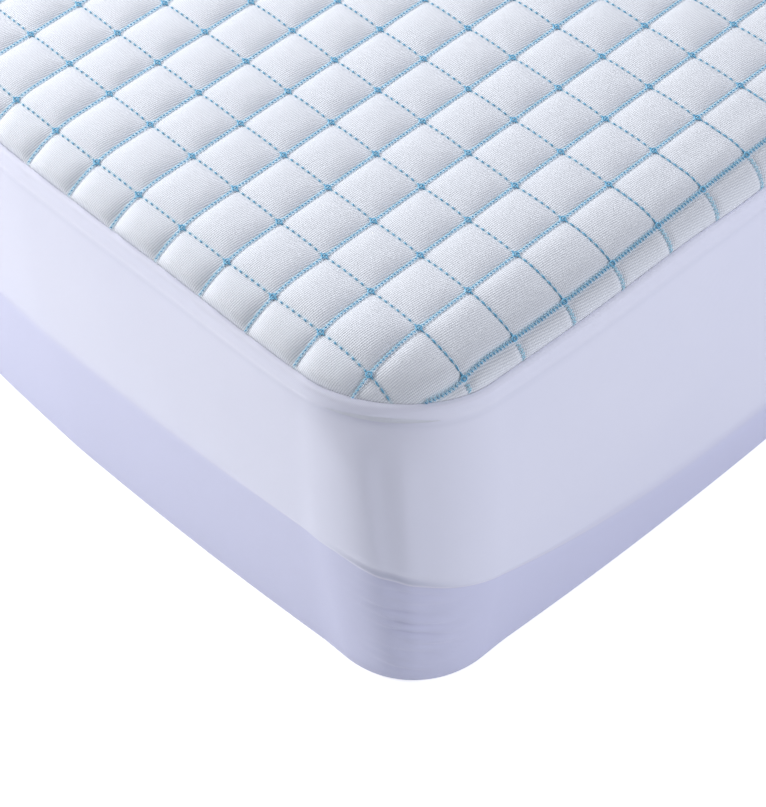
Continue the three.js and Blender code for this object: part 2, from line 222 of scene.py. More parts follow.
def smooth(t):
    t = np.clip(t, 0, 1)
    return t * t * (3 - 2 * t)


def bump(x, width):
    """A rounded hill of height one, about twice this wide."""
    return np.exp(-((x / width) ** 2))


def running(steps):
    """Length from the start to each joint between steps, along the last axis."""
    return np.insert(np.cumsum(steps, -1), 0, 0.0, -1)


# Plan and panel


def fade_at(from_corner, reach):
    return (1 - np.clip(from_corner / reach, 0, 1)) ** 2


def pull_at(from_corner):
    return CORNER_PULL * fade_at(from_corner, BOW_REACH)


def plan(x, y):
    """How far plan points lie inside the wall line, which way is out, and how far
    round to a long side they are."""
    x, y = np.broadcast_arrays(x, y)
    side = HALF_WIDTH - pull_at(ARC_Y - np.abs(y))
    end = HALF_LENGTH - pull_at(ARC_X - np.abs(x))
    beyond_x = np.abs(x) - side + CORNER_RADIUS
    beyond_y = np.abs(y) - end + CORNER_RADIUS
    out_x, out_y = np.maximum(beyond_x, 0), np.maximum(beyond_y, 0)
    reach = np.hypot(out_x, out_y)
    inset = CORNER_RADIUS - reach - np.minimum(np.maximum(beyond_x, beyond_y), 0)
    nearer_side = beyond_x > beyond_y
    inside = reach < 1e-9
    safe = np.where(inside, 1, reach)
    normal_x = np.where(inside, nearer_side, out_x / safe) * np.sign(x)
    normal_y = np.where(inside, ~nearer_side, out_y / safe) * np.sign(y)
    turn = np.arctan2(out_x, out_y) / (math.pi / 2)
    long_side = smooth(np.where(inside, nearer_side, turn))
    return inset, normal_x, normal_y, long_side


def near_corner(y):
    """One by the corners, fading along the long sides."""
    return smooth(1 - (ARC_Y - np.abs(y)) / CORNER_SAG_REACH)


def edge_shape(y, long_side):
    """Where the panel's fall starts, its radius, and the further drop at its very edge."""
    near = near_corner(y)
    start = mix(END_FALL_START, mix(SIDE_FALL, CORNER_FALL_START, near), long_side)
    radius = mix(END_FALL_RADIUS, mix(SIDE_FALL, CORNER_FALL_RADIUS, near), long_side)
    drop = CORNER_EDGE_DROP * near * (1.9 - 0.9 * near) * long_side**1.4
    return start, radius, drop


def seam_inset(x, y, long_side):
    by_side = mix(SEAM_INSET_SIDE, SEAM_INSET_CORNER, near_corner(y))
    by_end = smooth(1 - (ARC_X - np.abs(x)) / SEAM_BOW_REACH)
    by_end = mix(SEAM_INSET_END, SEAM_INSET_END_CORNER, by_end)
    return mix(by_end, by_side, long_side) + SEAM_INSET_ARC * 4 * long_side * (1 - long_side)


def panel_at(x, y):
    """Inset, outward direction, share of long side and edge shape at plan points."""
    inset, *normal, long_side = plan(x, y)
    return inset, normal, long_side, edge_shape(y, long_side)


def inside_seam(x, y, margin):
    inset, _, _, long_side = plan(x, y)
    return inset > seam_inset(x, y, long_side) + margin


def groove(inset, shape):
    """Height of the stitched grooves at an inset, and the tangent of their slope."""
    start, radius, drop = shape
    run = np.clip(start - inset, 0, 0.99 * radius)
    edge = np.clip(1 - inset / EDGE_REACH, 0, 1)
    level = np.sqrt(radius**2 - run**2)
    height = QUILT_HEIGHT - radius + level - drop * edge**2
    return height, run / level + 2 * drop * edge / EDGE_REACH


def groove_height(inset, shape):
    return groove(inset, shape)[0]


def pillow(distance, width, power):
    return 1 - (1 - np.clip(distance / width, 0, 1)) ** power


def side_shift(y):
    """How far the outermost long rows stand in near the corners."""
    beyond = np.maximum(np.abs(y) - (DASH_ROWS - 1) * CELL, 0)
    bent = np.minimum(beyond, CELL)
    pulled = SIDE_ROW_PULL * fade_at(ARC_Y - np.abs(y), SIDE_ROW_REACH)
    return pulled + bent**2 / SIDE_ROW_BEND + SIDE_ROW_LEAN * (beyond - bent)


def end_shift(x):
    """How far the outermost cross rows bow out between the corners, taken as below zero."""
    return -END_ROW_BOW * (1 - fade_at(ARC_X - np.abs(x), BOW_REACH))


def row_line(row, along, rows, swapped):
    """Where rows of quilting lie at a place along them."""
    shift = end_shift(along) if swapped else side_shift(along)
    return row * CELL - np.sign(row) * shift * (np.abs(row) == rows)


def squares(x, y):
    """Places in the quilting's own squares, whose rows are straight and one cell apart."""
    column = np.clip((np.abs(x) / CELL - ROPE_ROWS + 1) * 1.3, 0, 1)
    row = np.clip((np.abs(y) / CELL - DASH_ROWS + 1) * 1.3, 0, 1)
    across = x + np.sign(x) * side_shift(y) * column
    along = y + np.sign(y) * end_shift(x) * row
    return across, along


def row_gap(across, along, squared, height, rows, swapped):
    """Distance over the cloth to the nearest row of stitching."""
    nearest = np.full(np.shape(height), FAR)
    for lower in (np.floor, np.ceil):
        row = lower(squared / CELL)
        line = row_line(row, along, rows, swapped)
        inset, _, _, shape = panel_at(*((along, line) if swapped else (line, along)))
        gap = np.hypot(across - line, height - groove_height(inset, shape))
        nearest = np.minimum(nearest, np.where(np.abs(row) <= rows, gap, FAR))
    return nearest


def crown(x, y):
    """Height of the swelling of the quilted squares above the grooves."""
    inset, _, long_side, shape = panel_at(x, y)
    height = groove_height(inset, shape)
    u, v = squares(x, y)
    to_rope = np.maximum(row_gap(x, y, u, height, ROPE_ROWS, False) - ROPE_BED, 0)
    to_dashes = row_gap(y, x, v, height, DASH_ROWS, True)
    seam = seam_inset(x, y, long_side)
    to_seam = np.hypot(inset - seam, height - groove_height(seam, shape)) * (inset > seam)
    outside = np.abs(u) / CELL - ROPE_ROWS
    taut, beyond = smooth((outside + 1) * 1.6), smooth(outside * 12)
    by_rope = pillow(to_rope, mix(CELL / 2, CELL / 3, beyond), 3.0)
    by_dashes = pillow(to_dashes, mix(CELL / 2, CELL / 6, beyond), 3.0)
    swell = by_rope * mix(DASH_CROWN * (1 - taut), 1, by_dashes) * pillow(to_seam, EDGE_ROLL, 2.2)
    swell = swell * mix(1, mix(TAUT_CROWN, EDGE_CROWN, beyond), taut)
    column, row = np.floor(x / CELL), np.floor(y / CELL)
    uneven = np.sin(column * 12.9898 + row * 78.233) * 43.5453
    uneven = uneven - np.floor(uneven)
    soft = np.sin(x * 61 + 1.3 * np.sin(y * 43)) * np.sin(y * 57 + 1.1 * np.sin(x * 39))
    return CROWN * swell * (0.93 + 0.12 * uneven + 0.05 * soft)


def on_panel(x, y, lift):
    """Points over the grooves at a distance out from the cloth."""
    inset, (normal_x, normal_y), _, shape = panel_at(x, y)
    height, tangent = groove(inset, shape)
    up = lift / np.sqrt(1 + tangent**2)
    out = tangent * up
    return np.stack([x + normal_x * out, y + normal_y * out, height + up], -1)


def on_quilt(x, y, lift=0.0):
    return on_panel(x, y, crown(x, y) + lift)


def panel_uv(x, y):
    """Where plan points lie on the cloth when it is laid flat."""
    inset, (normal_x, normal_y), _, shape = panel_at(x, y)
    run = np.maximum(shape[0] - inset, 0)
    extra = np.hypot(run, QUILT_HEIGHT - groove_height(inset, shape)) - run
    return np.stack([x + normal_x * extra, y + normal_y * extra], -1)


class Round:
    """Stations round the wall line, anticlockwise seen from above."""

    def __init__(self, arc, end, side):
        rows = []
        tighter = CORNER_RADIUS - FOOT_RADIUS
        for corner, sign in enumerate(np.array([(1, -1), (1, 1), (-1, 1), (-1, -1)])):
            to_side = corner % 2 == 0
            for share in np.arange(arc + 1) / arc:
                turn = (corner - 1 + share) * math.pi / 2
                out = np.array([math.cos(turn), math.sin(turn)])
                point = sign * (ARC_X, ARC_Y) + CORNER_RADIUS * out
                foot = sign * (ARC_X + tighter, ARC_Y + tighter) + FOOT_RADIUS * out
                mouth = sign * (MOUTH_X, MOUTH_Y) + MOUTH_RADIUS * out
                side_share = share if to_side else 1 - share
                rows.append((*point, *foot, *mouth, *out, side_share, 0, share, corner))
            out = np.array([(1, 0), (0, 1), (-1, 0), (0, -1)][corner])
            ahead = np.array([-out[1], out[0]])
            spans = (HALF_WIDTH, ARC_Y, MOUTH_X, MOUTH_Y, side)
            if not to_side:
                spans = (HALF_LENGTH, ARC_X, MOUTH_Y, MOUTH_X, end)
            half, middle, mouth_half, mouth_middle, count = spans
            for step in range(1, count):
                along = mix(-1, 1, step / count)
                at = np.array([along * middle, along * (middle + tighter)])
                slack = 1 - fade_at(middle * (1 - abs(along)), LOWER_BOW_REACH)
                wall = half - pull_at(middle - np.abs(at))
                point, foot = (out * w + ahead * a for w, a in zip(wall, at))
                mouth = out * (mouth_half + MOUTH_RADIUS) + ahead * along * mouth_middle
                rows.append((*point, *foot, *mouth, *out, to_side, slack, 0, corner))
        table = np.array(rows, float)
        self.point, self.foot, self.mouth, self.normal = np.split(table[:, :8], 4, 1)
        self.long_side = smooth(table[:, 8])
        self.slack, self.share, self.corner = table[:, 9:].T
        steps = np.hypot(*(np.roll(self.point, -1, 0) - self.point).T)
        self.along = running(steps)
        off_middle = np.abs(self.share - 0.5)
        middles = [np.argmin(off_middle + FAR * (self.corner != c)) for c in range(4)]
        length = self.along[-1]
        from_middle = self.along[:-1, None] - self.along[middles][None]
        from_middle = (from_middle + length / 2) % length - length / 2
        self.nearest = np.argmin(np.abs(from_middle), 1)
        self.from_corner = np.take_along_axis(from_middle, self.nearest[:, None], 1)[:, 0]
        self.seam = seam_inset(*self.point.T, self.long_side)
        self.shape = edge_shape(self.point[:, 1], self.long_side)

    def inset_points(self, inset):
        return self.point - np.asarray(inset)[..., None] * self.normal

    def under(self, reach):
        """Points under the mattress, by their reaches in from the foot."""
        rest = (HEM_REACH - np.asarray(reach))[:, None]
        return self.mouth[:, None] + rest * self.normal[:, None]


# Mesh making


def quads(a):
    """The four corners of each cell of an array's last two axes."""
    return np.stack([a[..., :-1, :-1], a[..., 1:, :-1], a[..., 1:, 1:], a[..., :-1, 1:]], -1)


def closed(a, axis=0):
    """An array with its first slice again at the end of an axis."""
    return np.concatenate([a, np.take(a, [0], axis)], axis)


def put(name, data, place=(0, 0, 0), axes=((1, 0, 0), (0, 1, 0), (0, 0, 1))):
    """An object of the scene, at a place, with its own axes along these directions."""
    made = bpy.data.objects.new(name, data)
    made.matrix_world = Matrix.Translation(place) @ Matrix(axes).transposed().to_4x4()
    bpy.context.scene.collection.objects.link(made)
    return made


class Cloth:
    """Points and faces of one piece while it is being made."""

    def __init__(self):
        self.points, self.faces, self.places, self.count = [], [], [], 0

    def add(self, points):
        flat = np.asarray(points, float).reshape(-1, 3)
        ids = np.arange(self.count, self.count + len(flat))
        self.points.append(flat)
        self.count += len(flat)
        return ids.reshape(np.shape(points)[:-1])

    def face(self, ids, uv=None):
        size = ids.shape[-1]
        self.faces.append(ids.reshape(-1, size))
        self.places.append(None if uv is None else uv.reshape(-1, size, 2))

    def grid(self, ids, uv=None):
        if uv is not None:
            uv = np.stack([quads(uv[..., 0]), quads(uv[..., 1])], -1)
        self.face(quads(ids), uv)

    def loop_grid(self, ids, uv=None):
        """A grid whose first axis closes on itself. uv has one more row."""
        self.grid(closed(ids), uv)

    def turn_over(self):
        self.faces = [f[:, ::-1] for f in self.faces]
        self.places = [None if p is None else p[:, ::-1] for p in self.places]

    def make(self, name, material, slot):
        points = np.concatenate(self.points)
        # Faces with no places of their own are laid as they lie in plan
        in_plan = [points[f, :2] for f in self.faces]
        if self.volume(points) < 0:
            self.turn_over()
        order = np.concatenate([f.ravel() for f in self.faces])
        lengths = np.repeat([f.shape[1] for f in self.faces], [len(f) for f in self.faces])
        mesh = bpy.data.meshes.new(name)
        mesh.vertices.add(len(points))
        mesh.vertices.foreach_set("co", points.ravel())
        mesh.loops.add(len(order))
        mesh.loops.foreach_set("vertex_index", order)
        mesh.polygons.add(len(lengths))
        mesh.polygons.foreach_set("loop_start", np.cumsum(lengths) - lengths)
        mesh.update(calc_edges=True)
        mesh.shade_smooth()
        spread = [(a if p is None else p).ravel() for a, p in zip(in_plan, self.places)]
        layer = mesh.uv_layers.new(name="cloth")
        layer.data.foreach_set("uv", np.concatenate(spread))
        mesh.materials.append(material)
        piece = put(name, mesh)
        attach(piece, "root")
        return piece

    def volume(self, points):
        total = 0.0
        for f in self.faces:
            for k in range(1, f.shape[1] - 1):
                a, b, c = points[f[:, 0]], points[f[:, k]], points[f[:, k + 1]]
                total += np.einsum("ij,ij->", a, np.cross(b, c)) / 6
        return total


def add_values(piece, label, values, kind="FLOAT", key="value"):
    layer = piece.data.attributes.new(label, kind, "POINT")
    layer.data.foreach_set(key, values.ravel())


def unit(v):
    return v / np.maximum(np.linalg.norm(v, axis=-1, keepdims=True), 1e-12)


def add_strands(cloth, start, end, up, radius, lift):
    """Short pieces of thread from start to end, arched up and pointed at both ends."""
    start, end, up = np.broadcast_arrays(start, end, up)
    run = unit(end - start)
    out = unit(up - np.sum(up * run, -1, keepdims=True) * run)
    wide = np.cross(run, out)
    t = np.linspace(0, 1, STRAND_RINGS + 2)[:, None]
    centre = mix(start[:, None], end[:, None], t) + out[:, None] * (4 * t * (1 - t) * lift)
    angles = full_turn(STRAND_SIDES)
    girth = radius * np.sin(math.pi * np.linspace(0.2, 0.8, STRAND_RINGS))[:, None, None]
    around = np.cos(angles) * wide[:, None, None] + np.sin(angles) * out[:, None, None]
    tips = cloth.add(centre[:, [0, -1]])
    ids = cloth.add(centre[:, 1:-1, None] + girth * around)
    after = np.roll(ids, -1, 2)
    cloth.face(np.stack([ids[:, :-1], after[:, :-1], after[:, 1:], ids[:, 1:]], -1))
    for tip, a, b in ((0, after[:, 0], ids[:, 0]), (1, ids[:, -1], after[:, -1])):
        cloth.face(np.stack([np.broadcast_to(tips[:, [tip]], a.shape), a, b], -1))


def full_turn(steps):
    return np.linspace(0, 2 * math.pi, steps, endpoint=False)[:, None]


def add_zigzag(cloth, before, middle, after, up, radius, lift):
    """A strand to each middle place and one on from it."""
    add_strands(cloth, before, middle, up, radius, lift)
    add_strands(cloth, middle, after, up, radius, lift)


# Materials


def shader_group(name, values, outputs):
    """A node group that takes a vector and named values: a way to add nodes to it, and
    its inputs and outputs."""
    group = bpy.data.node_groups.new(name, "ShaderNodeTree")
    socket = group.interface.new_socket
    socket("Vector", in_out="INPUT", socket_type="NodeSocketVector")
    for label, value in values.items():
        socket(label, in_out="INPUT", socket_type="NodeSocketFloat").default_value = value
    for label in outputs:
        socket(label, in_out="OUTPUT", socket_type="NodeSocketFloat")
    start = group.nodes.new("NodeGroupInput")
    end = group.nodes.new("NodeGroupOutput")
    return Nodes(group), start.outputs, end.inputs


class Nodes:
    """Short ways to add nodes to one tree."""

    def __init__(self, tree):
        self.tree = tree

    def new(self, kind, links=(), **settings):
        node = self.tree.nodes.new(kind)
        for key, value in settings.items():
            setattr(node, key, value)
        for socket, source in dict(links).items():
            if isinstance(source, bpy.types.NodeSocket):
                self.tree.links.new(source, node.inputs[socket])
            else:
                node.inputs[socket].default_value = source
        return node.outputs

    def math(self, operation, *values):
        links = dict(enumerate(values))
        return self.new("ShaderNodeMath", links, operation=operation)[0]

    def blend(self, factor, a, b):
        """Colour a where the factor is 0, and b where it is 1."""
        links = {0: factor, 6: a, 7: b}
        return self.new("ShaderNodeMix", links, data_type="RGBA")[2]

    def ramp(self, value, low, high, to_low=0.0, to_high=1.0):
        links = {0: value, 1: low, 2: high, 3: to_low, 4: to_high}
        return self.new("ShaderNodeMapRange", links, interpolation_type="SMOOTHSTEP")[0]


def grid_line_group():
    """How near a point is to the rows of quilting, from 1 on the row to 0."""
    values = {"Rope reach": 0.004, "Dash reach": 0.002}
    n, given, wanted = shader_group("quilting row", values, ("Rope", "Dash"))
    split = n.new("ShaderNodeSeparateXYZ", {0: given["Vector"]})
    for axis, reach, mask in ((0, "Rope reach", "Rope"), (1, "Dash reach", "Dash")):
        gap = n.math("PINGPONG", n.math("ABSOLUTE", split[axis]), CELL / 2)
        n.tree.links.new(n.ramp(gap, 0.0, given[reach], 1.0, 0.0), wanted[mask])
    return n.tree


def knit_group():
    """Fine ribs of loops: rows at a slant, broken into single stitches. Their Shade is painted
    shade of the ribs, for laying into colour.
    """
    values = {"Rib pitch": 0.0016, "Loop pitch": 0.0011, "Slant": 0.0, "Unevenness": 0.3}
    n, given, wanted = shader_group("knitted ribs", values, ("Height", "Shade"))
    turn = {"Vector": given["Vector"], "Angle": given["Slant"]}
    turned = n.new("ShaderNodeVectorRotate", turn, rotation_type="Z_AXIS")[0]
    wander = n.new("ShaderNodeTexNoise", {"Vector": turned, "Scale": 90.0, "Detail": 2.0})
    split = n.new("ShaderNodeSeparateXYZ", {0: turned})
    shift = n.math("MULTIPLY", wander[0], n.math("MULTIPLY", given["Unevenness"], 0.004))

    def wave(axis, pitch):
        turns = n.math("DIVIDE", n.math("ADD", split[axis], shift), pitch)
        return n.math("SINE", n.math("MULTIPLY", turns, 2 * math.pi))

    rib = n.ramp(wave(0, given["Rib pitch"]), -1.0, 1.0)
    loop = n.ramp(wave(1, given["Loop pitch"]), -1.0, 1.0)
    height = n.math("MULTIPLY_ADD", loop, 0.45, n.math("MULTIPLY", rib, 0.55))
    # Painted shade of the ribs
    shade = n.math("MULTIPLY", rib, n.ramp(loop, 0.0, 1.0, 0.6, 1.0))
    n.tree.links.new(height, wanted["Height"])
    n.tree.links.new(shade, wanted["Shade"])
    return n.tree


def tone_group():
    """Soft, slow change of tone, as cloth has where it is handled and stretched."""
    values = {"Patch size": 0.1, "Contrast": 1.0}
    n, given, wanted = shader_group("soft tone", values, ("Shade",))
    scale = n.math("DIVIDE", 1.0, given["Patch size"])
    noise = n.new("ShaderNodeTexNoise", {"Vector": given["Vector"], "Scale": scale, "Detail": 3.0})
    shade = n.math("MULTIPLY_ADD", n.math("SUBTRACT", noise[0], 0.5), given["Contrast"], 0.5)
    n.tree.links.new(n.new("ShaderNodeClamp", {0: shade})[0], wanted["Shade"])
    return n.tree


def srgb(r, g, b):
    """Linear colour of a colour given from 0 to 255."""

    def linear(v):
        v /= 255
        return v / 12.92 if v <= 0.04045 else ((v + 0.055) / 1.055) ** 2.4

    return (linear(r), linear(g), linear(b), 1.0)


class Finish:
    """One material: a Principled BSDF and short ways to feed it."""

    def __init__(self, name, roughness, sheen=0.0, specular=0.3):
        self.material = bpy.data.materials.new(name)
        self.material.use_nodes = True
        self.n = Nodes(self.material.node_tree)
        self.shader = self.material.node_tree.nodes["Principled BSDF"].inputs
        values = {"Roughness": roughness, "Sheen Weight": sheen, "Sheen Roughness": 0.4}
        values.update({"Sheen Tint": (1, 1, 1, 1), "Specular IOR Level": specular})
        for socket, value in values.items():
            self.shader[socket].default_value = value
        places = self.n.new("ShaderNodeTexCoord")
        self.laid, self.inplace = places["UV"], places["Object"]

    def group(self, group, **values):
        links = {k.replace("_", " "): v for k, v in values.items()}
        return self.n.new("ShaderNodeGroup", links, node_tree=group)

    def tone(self, size, contrast=1.0):
        return self.group(TONE, Vector=self.inplace, Patch_size=size, Contrast=contrast)["Shade"]

    def noise(self, scale, detail):
        links = {"Vector": self.inplace, "Scale": scale, "Detail": detail}
        return self.n.new("ShaderNodeTexNoise", links)[0]

    def painted(self, label):
        """A value that the mesh carries in an attribute."""
        return self.n.new("ShaderNodeAttribute", attribute_name=label)

    def between(self, mask, low, high):
        return self.n.blend(mask, srgb(*low), srgb(*high))

    def over(self, colour, mask, share, other):
        """A colour with another laid over it by a share of a mask."""
        return self.n.blend(self.n.math("MULTIPLY", mask, share), colour, srgb(*other))

    def finish(self, colour, height, depth):
        """The material with its colour and its relief connected."""
        self.feed("Base Color", colour)
        links = {"Height": height, "Distance": depth, "Strength": 1.0}
        self.feed("Normal", self.n.new("ShaderNodeBump", links)[0])
        return self.material

    def feed(self, socket, source):
        self.n.tree.links.new(source, self.shader[socket])


ROWS = grid_line_group()
RIBS = knit_group()
TONE = tone_group()


def quilt_knit():
    f = Finish("cooling knit", 0.62, sheen=0.25, specular=0.35)
    ribs = f.group(
        RIBS, Vector=f.laid, Rib_pitch=0.0018, Loop_pitch=0.0015, Slant=0.17, Unevenness=0.12
    )
    squared = f.painted("squares")["Vector"]
    rows = f.group(ROWS, Vector=squared, Rope_reach=0.0028, Dash_reach=0.002)
    cloth = f.between(f.tone(0.09), (225, 229, 239), (233, 236, 244))
    # Painted shade: darker rib stripes stand in for the shading of the knit's ribs
    cloth = f.over(cloth, ribs["Shade"], 0.75, (190, 195, 208))
    cloth = f.over(cloth, rows["Rope"], 0.45, (172, 216, 236))
    cloth = f.over(cloth, rows["Dash"], 0.4, (176, 214, 230))
    return f.finish(cloth, ribs["Height"], 0.34 * MM)


def skirt_jersey():
    f = Finish("skirt jersey", 0.72, sheen=0.3, specular=0.25)
    ribs = f.group(RIBS, Vector=f.laid, Rib_pitch=0.0011, Loop_pitch=0.0009, Slant=0.65)
    cloth = f.between(f.tone(0.16), (222, 224, 243), (229, 230, 246))
    # Painted shade: the skirt below the crease is darker, for the shade on its drawn-in lower band
    cloth = f.n.blend(f.painted("lower_band_shade")[2], cloth, srgb(207, 209, 236))
    # Painted highlight: a pale line on the crease's rolled edge
    cloth = f.over(cloth, f.painted("crease")[2], 0.6, (232, 228, 240))
    # Painted shade: blue-grey darkening just above the crease and under the seam's lip
    cloth = f.over(cloth, f.painted("fold_shade")[2], 0.55, (152, 158, 184))
    # Painted shade: faint darker rib stripes stand in for the shading of the jersey's ribs
    cloth = f.over(cloth, ribs["Shade"], 0.2, (200, 202, 226))
    return f.finish(cloth, ribs["Height"], 0.1 * MM)


def plain_cloth(name, low, high, roughness, pitch, depth):
    f = Finish(name, roughness, sheen=0.1)
    ribs = f.group(RIBS, Vector=f.laid, Rib_pitch=pitch, Loop_pitch=pitch)
    return f.finish(f.between(f.tone(0.12), low, high), ribs["Height"], depth)


def wadding():
    f = Finish("wadding", 0.95, sheen=0.4)
    colour = f.between(f.tone(0.03, 1.6), (226, 226, 220), (244, 244, 240))
    return f.finish(colour, f.noise(420.0, 4.0), 1.2 * MM)


def film():
    f = Finish("membrane film", 0.38, specular=0.5)
    creases = f.noise(26.0, 5.0)
    f.feed("Roughness", f.n.ramp(creases, 0.3, 0.7, 0.3, 0.5))
    return f.finish(f.between(creases, (206, 214, 226), (224, 230, 238)), creases, 0.6 * MM)


def thread(name, low, high):
    f = Finish(name, 0.5, sheen=0.3, specular=0.4)
    ply = f.noise(900.0, 1.0)
    return f.finish(f.between(f.n.ramp(ply, 0.35, 0.65), low, high), ply, 0.2 * MM)


# Top panel


def lace(cloth, outer, inner, points, uv_of):
    """A strip between two closed rings of points, along its shortest diagonals."""
    plane = points[:, :2]
    start = int(np.argmin(np.hypot(*(plane[inner] - plane[outer[0]]).T)))
    inner = np.roll(inner, -start)
    outer, inner = np.append(outer, outer[0]), np.append(inner, inner[0])
    i = j = 0
    faces = []
    while i < len(outer) - 1 or j < len(inner) - 1:
        take_outer = j == len(inner) - 1
        if not take_outer and i < len(outer) - 1:
            by_outer = plane[outer[i + 1]] - plane[inner[j]]
            by_inner = plane[outer[i]] - plane[inner[j + 1]]
            take_outer = by_outer @ by_outer < by_inner @ by_inner
        if take_outer:
            faces.append((outer[i], outer[i + 1], inner[j]))
            i += 1
        else:
            faces.append((outer[i], inner[j + 1], inner[j]))
            j += 1
    faces = np.array(faces)
    cloth.face(faces, uv_of[faces])


def outline_of(patch):
    """The outer edge of a patch of faces, anticlockwise."""
    a, b = patch.ravel(), np.roll(patch, -1, 1).ravel()
    size = int(patch.max()) + 1
    lone = ~np.isin(a * size + b, b * size + a)
    after = dict(zip(a[lone].tolist(), b[lone].tolist()))
    first = next(iter(after))
    ring, at = [first], after[first]
    while at != first:
        ring.append(at)
        at = after[at]
    return np.array(ring)


def add_rings(cloth, stations, insets, cover):
    """Rings of points at insets from the wall line, and their places on the flat cloth."""
    x, y = stations.inset_points(insets).T
    return cloth.add(cover(x, y)), closed(panel_uv(x, y))


def quilt_top(cloth, stations):
    """The crowned face: a plan grid in the middle and rings over the shoulder."""
    steps = np.linspace(0, 1, FACE_RINGS)[:, None]
    insets = mix(stations.seam, INNER_INSET, steps**1.2)
    rings, uv = add_rings(cloth, stations, insets, on_quilt)
    cloth.loop_grid(rings, uv)

    def lines(rows, extra):
        steps = np.arange(-rows * SUBDIVISIONS - extra, rows * SUBDIVISIONS + extra + 1)
        cell, part = np.divmod(steps, SUBDIVISIONS)
        part = part / SUBDIVISIONS
        return CELL * (cell + part - 0.45 * np.sin(2 * math.pi * part) / (2 * math.pi))

    x, y = np.meshgrid(lines(ROPE_ROWS, 0), lines(DASH_ROWS, 8), indexing="ij")
    held = plan(x, y)[0] > INNER_INSET + 1.5 * MM
    numbers = np.full(x.shape, -1)
    numbers[held] = cloth.add(on_quilt(x[held], y[held]))
    patch = quads(numbers)[quads(held).all(-1)]
    points = np.concatenate(cloth.points)
    uv_of = panel_uv(points[:, 0], points[:, 1])
    uv_of[numbers[held]] = np.stack([x[held], y[held]], -1)
    cloth.face(patch, uv_of[patch])
    lace(cloth, rings[:, -1], outline_of(patch), points, uv_of)
    return rings[:, 0]


def layer_side(cloth, stations, depth, edge_gap=0.0):
    """One face of a plain layer: rings from its edge to the flat middle, then a cap."""
    steps = np.linspace(0, 1, LAYER_RINGS)[:, None]
    insets = mix(stations.seam + edge_gap, stations.shape[0], steps**1.3)
    rings, uv = add_rings(cloth, stations, insets, lambda x, y: on_panel(x, y, -depth))
    cloth.loop_grid(rings[:, ::-1], uv[:, ::-1])
    cloth.face(rings[None, ::-1, -1])
    return rings[:, 0]


def quilted_face():
    stations = Round(*FACE_STEPS)
    cloth = Cloth()
    edge = quilt_top(cloth, stations)
    under = layer_side(cloth, stations, KNIT)
    cloth.loop_grid(np.stack([under, edge], 1))
    piece = cloth.make("quilted_face", KNIT_FINISH, "cooling_knit")
    across, along = squares(*np.concatenate(cloth.points).T[:2])
    squared = np.stack([across, along, 0 * along], -1)
    add_values(piece, "squares", squared, "FLOAT_VECTOR", "vector")
    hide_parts("quilted_face_knit")
    return piece


def plain_layer(name, material, slot, node, depth, thickness, edge_gap=0.0):
    stations = Round(*LAYER_STEPS)
    cloth = Cloth()
    over = layer_side(cloth, stations, depth, edge_gap)
    cloth.turn_over()
    under = layer_side(cloth, stations, depth + thickness, edge_gap)
    cloth.loop_grid(np.stack([under, over], 1))
    piece = cloth.make(name, material, slot)
    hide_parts(node)
    return piece


# Threads


def line_points(row, along_y, pitch, margin):
    """Plan places at an even pitch over the cloth, along one row of quilting."""
    half, rows = (HALF_LENGTH, ROPE_ROWS) if along_y else (HALF_WIDTH, DASH_ROWS)
    run = np.linspace(-half, half, ROW_SAMPLES)
    line = row_line(row, run, rows, not along_y)
    x, y = (line, run) if along_y else (run, line)
    held = inside_seam(x, y, margin)
    x, y, run = x[held], y[held], run[held]
    length = running(np.linalg.norm(np.diff(on_panel(x, y, 0.0), axis=0), axis=1))
    length -= np.interp(0.0, run, length)
    first = math.ceil(length[0] / pitch - 0.5)
    last = math.floor(length[-1] / pitch - 0.5)
    at = (np.arange(first, last + 1) + 0.5) * pitch
    return np.interp(at, length, x), np.interp(at, length, y)


def rise(x, y):
    """Outward direction of the panel at plan points."""
    return unit(on_panel(x, y, 1.0) - on_panel(x, y, 0.0))


def rope_stitches():
    """A zigzag of thread along each long row, with a chain along its low side. The chain's deep
    blue is partly the thread's own colour and partly painted shade on the row's shadowed side.
    """
    band, chain = Cloth(), Cloth()
    for row in range(-ROPE_ROWS, ROPE_ROWS + 1):
        half, radius, tick, back = ROPE if abs(row) < ROPE_ROWS else OUTER_ROPE
        x, y = line_points(row, True, ROPE_PITCH, 0.6 * MM)
        up = rise(x, y)
        half = half * np.abs(up[:, 2])
        turns = [
            on_panel(x + across * half, y + along * ROPE_PITCH / 2, ROPE_LIFT)
            for along, across in ZIGZAG
        ]
        add_zigzag(band, *turns, up, radius, 0.5 * MM)
        low = on_panel(x - back * half, y - 0.3 * ROPE_PITCH, TICK_LIFT)
        high = on_panel(x + 1.05 * half, y + 0.05 * ROPE_PITCH, TICK_LIFT)
        add_strands(chain, low, high, up, tick, 0.4 * MM)
    band.make("rope_row_stitching", PALE_THREAD, "quilting_thread")
    chain.make("rope_row_chain", DEEP_THREAD_AND_SHADE, "quilting_thread")


def dash_stitches():
    """Single stitches along each cross row, dipping into the cloth between them."""
    cloth = Cloth()
    for row in range(-DASH_ROWS, DASH_ROWS + 1):
        x, y = line_points(row, False, DASH_PITCH, 0.6 * MM)
        u = np.abs(squares(x, y)[0]) / CELL
        held = (np.abs(u - np.round(u)) > 0.03) & (u < ROPE_ROWS)
        x, y, u = x[held], y[held], u[held]
        up = rise(x, y)
        share = np.where(u > ROPE_ROWS - 1, TAUT_DASH_SHARE, DASH_SHARE)
        reach = share * DASH_PITCH * np.abs(up[:, 2])
        ends = [on_quilt(x + e * reach, y - e * 0.3 * MM, 0.25 * MM) for e in (-1, 1)]
        add_strands(cloth, *ends, up, DASH_RADIUS, 0.5 * MM)
    cloth.make("dash_row_stitching", DASH_THREAD, "quilting_thread")


